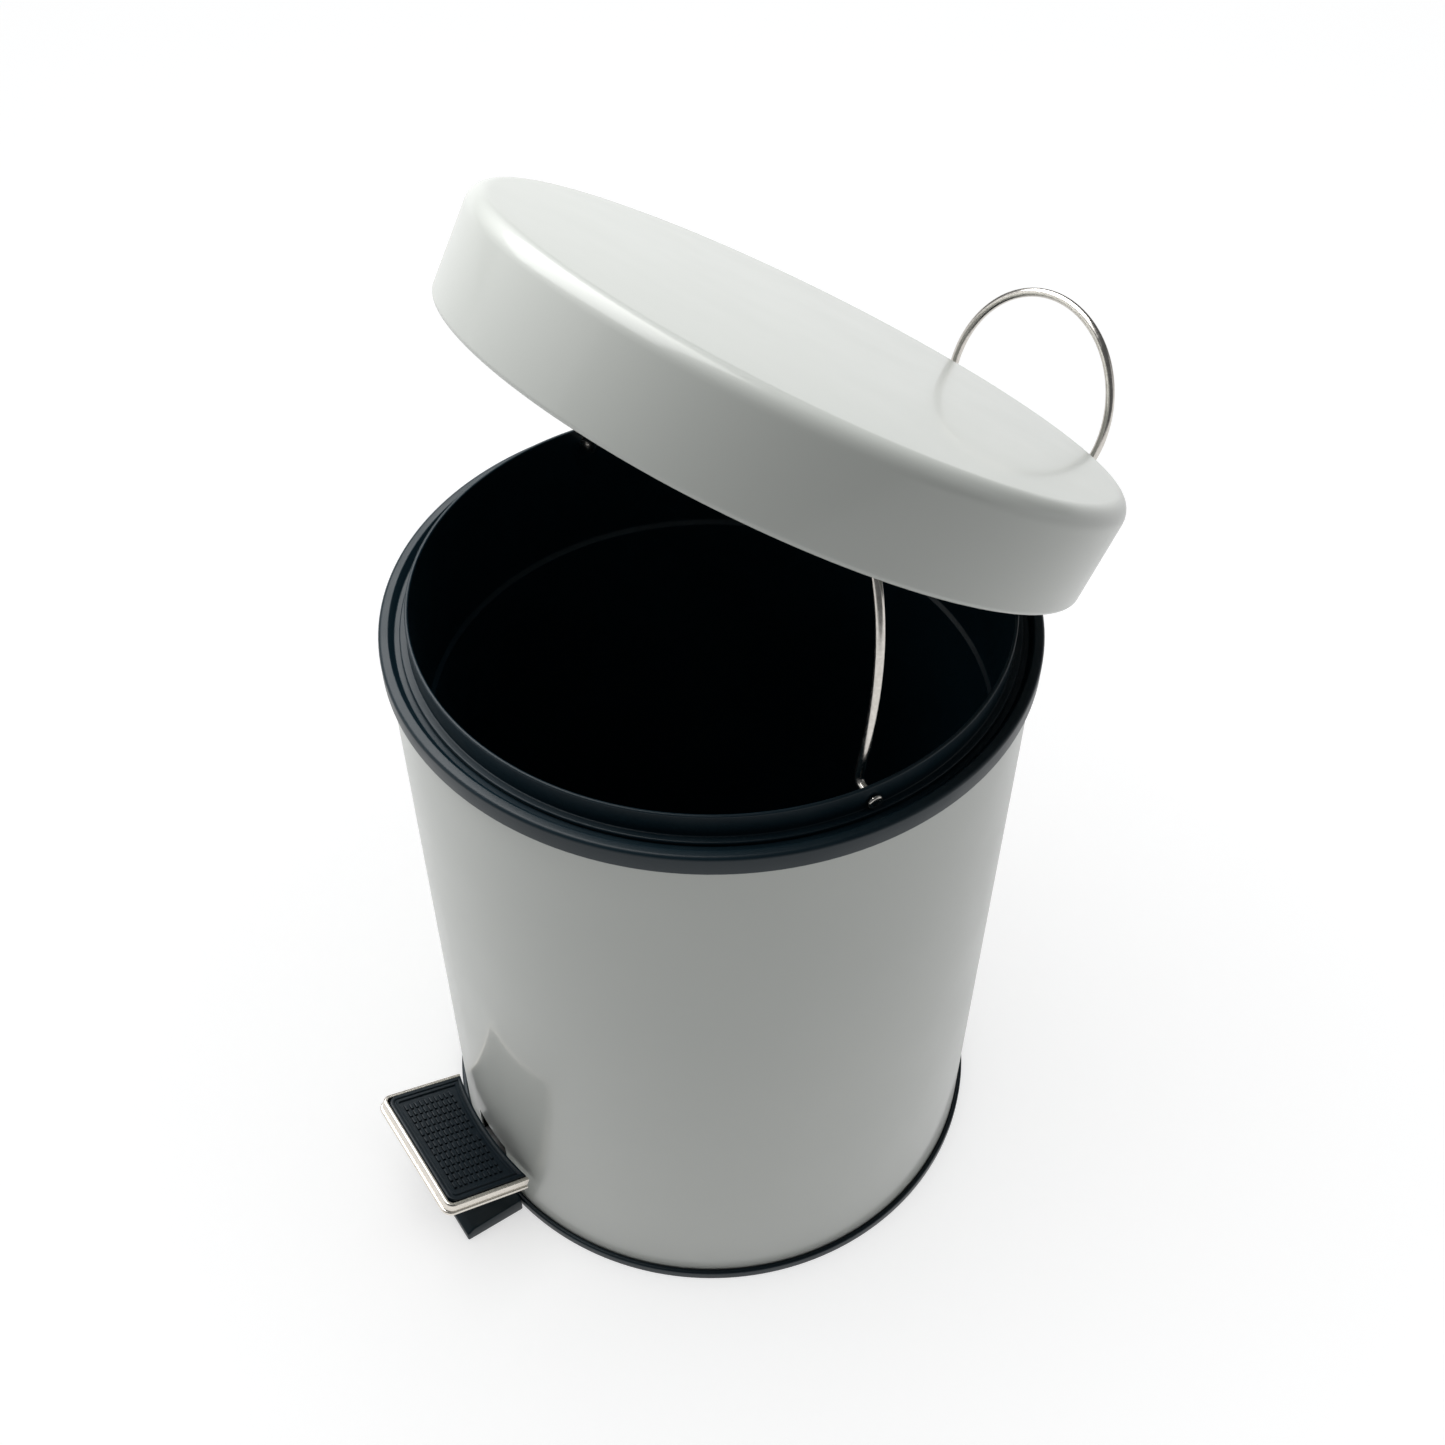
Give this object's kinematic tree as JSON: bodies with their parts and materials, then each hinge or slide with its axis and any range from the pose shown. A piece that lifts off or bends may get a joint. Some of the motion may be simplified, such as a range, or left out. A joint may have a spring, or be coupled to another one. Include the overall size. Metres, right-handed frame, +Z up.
{
  "type": "pedal trash can",
  "caption": "Round painted steel pedal bin with a black inner bucket, a wire bail, a rear wire loop and a foot pedal that lifts the hinged lid through a rod.",
  "frame": {"origin": "centre of the base on the floor, on the shell's axis", "axes": "+Z up along the shell's axis, -Y towards the pedal, +Y towards the lid hinge"},
  "size_m": [0.2056, 0.2854, 0.3803],
  "materials": {
    "paint": "semi-gloss light grey white paint",
    "black_plastic": "satin black polypropylene",
    "black_rubber": "ribbed matt rubber",
    "steel_wire": "bright drawn wire",
    "stainless": "polished pressed stainless steel",
    "zinc_steel": "zinc plated steel"
  },
  "bodies": {
    "bin": {"outer_shell": "paint", "base": "black_plastic", "top_ring": "black_plastic", "inner_bucket": "black_plastic", "hinge_bracket": "black_plastic", "hinge_pin": "zinc_steel", "bracket_screw_left": "zinc_steel", "bracket_screw_right": "zinc_steel", "handle_loop": "steel_wire", "rod_guide": "black_plastic", "rod_guide_rivet": "zinc_steel", "lever_axle": "zinc_steel"},
    "lid": {"lid_shell": "paint", "lid_hinge_plate": "zinc_steel", "lid_rivet_front": "zinc_steel", "lid_rivet_rear": "zinc_steel"},
    "bail": {"bucket_bail": "steel_wire"},
    "pedal": {"pedal_tray": "stainless", "pedal_pad": "black_rubber", "pedal_lever": "zinc_steel", "pedal_rivet_left": "zinc_steel", "pedal_rivet_right": "zinc_steel"},
    "rod": {"lift_rod": "zinc_steel"}
  },
  "joints": [
    {"name": "lid_hinge", "type": "hinge", "parent": "bin", "child": "lid", "pos_m": [0, 0.104, 0.2393], "axis": [-1, 0, 0], "range_deg": [-32.6, 23.4]},
    {"name": "bail_swing", "type": "hinge", "parent": "bin", "child": "bail", "pos_m": [0, 0, 0.2458], "axis": [-0.9833, 0.1822, 0], "range_deg": [-86.8, 62.3]},
    {"name": "pedal_press", "type": "hinge", "parent": "bin", "child": "pedal", "pos_m": [0.00299, 0.03487, 0.0105], "axis": [0.9963, -0.0854, 0], "range_deg": [-4.05, 2.95]},
    {"name": "rod_lift", "type": "slide", "parent": "bin", "child": "rod", "axis": [0, 0, 1], "range_m": [-0.0044, 0.0032]}
  ],
  "couplings": [
    {"joint": "bail_swing", "follows": "lid_hinge", "ratio": 2.66},
    {"joint": "pedal_press", "follows": "lid_hinge", "ratio": 0.123},
    {"joint": "rod_lift", "follows": "lid_hinge", "m_per_rad": 0.00765}
  ]
}
